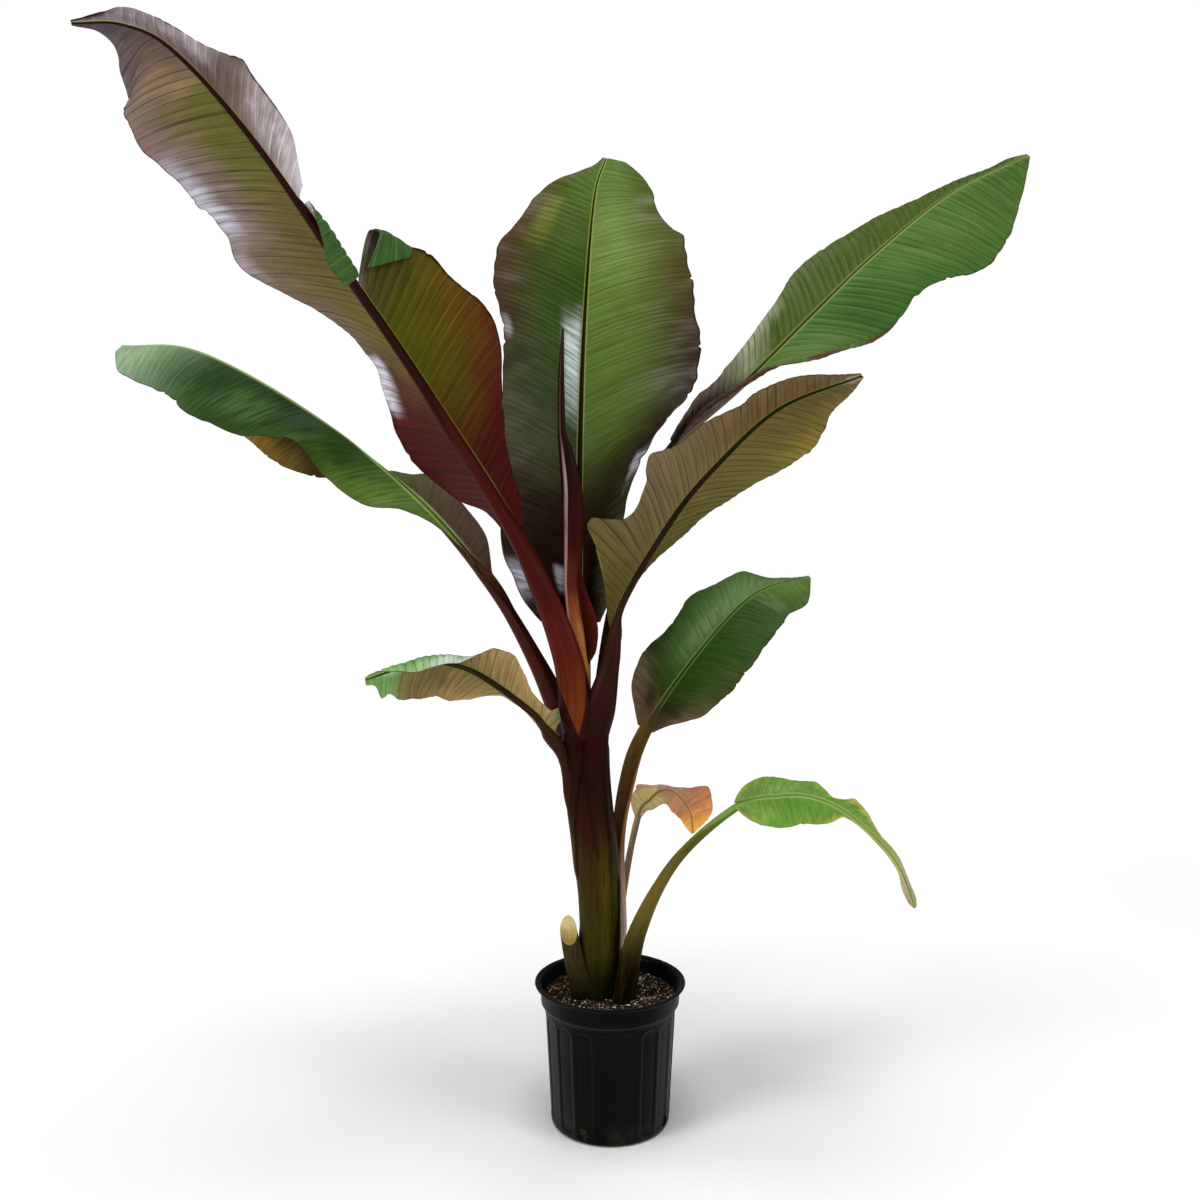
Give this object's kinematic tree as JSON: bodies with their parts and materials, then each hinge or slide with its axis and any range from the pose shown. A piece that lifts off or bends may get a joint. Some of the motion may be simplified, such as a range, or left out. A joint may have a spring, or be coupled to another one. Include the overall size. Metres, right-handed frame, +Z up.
{
  "type": "potted abyssinian banana plant",
  "caption": "Red-leaved banana plant with a sheathed trunk, arching broad leaves and a rolled spear leaf, standing in a ribbed round nursery pot of potting mix.",
  "frame": {"origin": "centre of the pot's flat underside, on the surface that it stands on", "axes": "+Z up, +X to the right and +Y away from the viewer as the plant is pictured"},
  "size_m": [1.7665, 0.8449, 1.833],
  "materials": {
    "pot_plastic": "black blow-moulded plastic with faint scuffs",
    "potting_mix": "dark bark mix with pale grains",
    "trunk_sheath": "smooth olive sheath shading to maroon",
    "maroon_stalk": "smooth waxy maroon leaf stalk",
    "olive_stalk": "smooth olive leaf stalk",
    "maroon_blade": "waxy red and olive leaf underside with pleated veins",
    "green_blade": "satin green leaf with pleated veins and a dark margin",
    "olive_blade": "olive-brown leaf underside with pleated veins",
    "tan_blade": "tan leaf underside with pleated veins",
    "withered_blade": "dry papery leaf",
    "yellow_blade": "yellow-green old leaf with a dry tip",
    "spear": "glossy dark red rolled leaf",
    "cut_stump": "dried stalk with a pale cut face"
  },
  "bodies": {
    "root": {"pot": "pot_plastic", "potting_mix": "potting_mix", "pseudostem": "trunk_sheath", "front_left_leaf_stalk": "maroon_stalk", "front_left_leaf_blade": "maroon_blade", "back_leaf_stalk": "maroon_stalk", "back_leaf_blade": "green_blade", "back_right_leaf_stalk": "maroon_stalk", "back_right_leaf_blade": "green_blade", "front_right_leaf_stalk": "maroon_stalk", "front_right_leaf_blade": "olive_blade", "left_leaf_stalk": "maroon_stalk", "left_leaf_blade": "green_blade", "low_left_leaf_stalk": "maroon_stalk", "low_left_leaf_blade": "tan_blade", "right_leaf_stalk": "maroon_stalk", "right_leaf_blade": "green_blade", "withered_leaf_stalk": "olive_stalk", "withered_leaf_blade": "withered_blade", "low_right_leaf_stalk": "olive_stalk", "low_right_leaf_blade": "yellow_blade", "low_right_leaf_tip": "withered_blade", "spear_leaf": "spear", "cut_stalk_stump": "cut_stump"}
  },
  "joints": []
}
